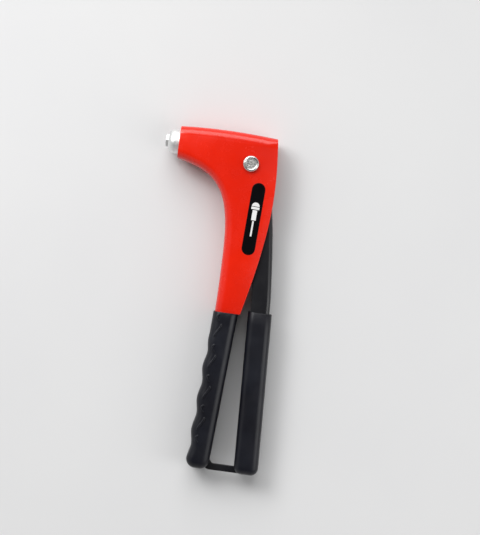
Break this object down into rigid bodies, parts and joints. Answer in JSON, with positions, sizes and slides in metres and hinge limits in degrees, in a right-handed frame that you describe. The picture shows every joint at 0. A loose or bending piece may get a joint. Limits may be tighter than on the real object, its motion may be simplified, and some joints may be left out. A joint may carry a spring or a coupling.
{
  "type": "hand riveter",
  "caption": "Hand blind riveter: red pressed-steel body with a straight nose, black sleeved handles that swing about one pivot, a sliding jaw train and a handle lock.",
  "frame": {"origin": "centre of the nosepiece's tip face, on the mandrel axis", "axes": "the tool lies on its side: X along the mandrel axis with the nose pointing along -X, the handles run along -Y, and +Z is square to the cheeks on the side of the pivot's head"},
  "size_m": [0.102, 0.2535, 0.0278],
  "materials": {
    "red_paint": "glossy orange-red paint on pressed steel",
    "zinc": "bright zinc plating",
    "pin_zinc": "bright zinc plating on turned pins",
    "nose_steel": "machined steel, lightly oiled",
    "dark_steel": "blackened steel",
    "draw_steel": "turned steel",
    "jaw_steel": "hardened chrome molybdenum steel",
    "spring_steel": "drawn spring wire",
    "black_paint": "satin black paint",
    "grip_pvc": "soft black PVC, slightly glossy",
    "badge": "glossy black film"
  },
  "bodies": {
    "frame": {"body": "red_paint", "barrel": "zinc", "barrel_plug": "dark_steel", "nosepiece": "nose_steel", "return_spring": "spring_steel", "pivot_pin": "pin_zinc", "pivot_washer": "zinc", "pivot_clip": "dark_steel", "handle_grip": "grip_pvc", "label": "badge", "lock_pin": "pin_zinc", "lock_spacers": "dark_steel"},
    "lever_arm": {"lever": "black_paint", "lever_grip": "grip_pvc", "catch_pin": "pin_zinc", "spare_nosepiece_24": "nose_steel", "spare_nosepiece_32": "nose_steel", "spare_nosepiece_40": "nose_steel"},
    "draw_train": {"jaw_case": "dark_steel", "draw_tube": "draw_steel", "draw_collar": "dark_steel", "pusher_spring": "spring_steel"},
    "pusher": {"jaw_pusher": "draw_steel"},
    "jaw_a": {"jaw_1": "jaw_steel"},
    "jaw_b": {"jaw_2": "jaw_steel"},
    "jaw_c": {"jaw_3": "jaw_steel"},
    "lock": {"lock_latch": "black_paint"}
  },
  "joints": [
    {"name": "lever_swing", "type": "hinge", "parent": "frame", "child": "lever_arm", "pos_m": [0.0658, -0.00984, 0], "axis": [0, 0, 1], "range_deg": [0, 50]},
    {"name": "draw_slide", "type": "slide", "parent": "frame", "child": "draw_train", "axis": [1, 0, 0], "range_m": [-0.0086, 0], "deforming": ["return_spring"]},
    {"name": "pusher_slide", "type": "slide", "parent": "draw_train", "child": "pusher", "axis": [1, 0, 0], "range_m": [0, 0.0012], "stiffness_N_per_m": 200, "springref_m": -0.003, "deforming": ["pusher_spring"]},
    {"name": "jaw_1_slide", "type": "slide", "parent": "draw_train", "child": "jaw_a", "axis": [0.9806, 0, 0.1961], "range_m": [0, 0.00123]},
    {"name": "jaw_2_slide", "type": "slide", "parent": "draw_train", "child": "jaw_b", "axis": [0.9806, -0.1698, -0.0981], "range_m": [0, 0.00123]},
    {"name": "jaw_3_slide", "type": "slide", "parent": "draw_train", "child": "jaw_c", "axis": [0.9806, 0.1698, -0.0981], "range_m": [0, 0.00123]},
    {"name": "lock_swing", "type": "hinge", "parent": "frame", "child": "lock", "pos_m": [0.0595, -0.2315, 0], "axis": [0, 0, 1], "range_deg": [-60, 5.5]}
  ],
  "couplings": [
    {"joint": "draw_slide", "follows": "lever_swing", "m_per_rad": -0.00984},
    {"joint": "jaw_1_slide", "follows": "pusher_slide", "ratio": 1.0198},
    {"joint": "jaw_2_slide", "follows": "pusher_slide", "ratio": 1.0198},
    {"joint": "jaw_3_slide", "follows": "pusher_slide", "ratio": 1.0198}
  ]
}
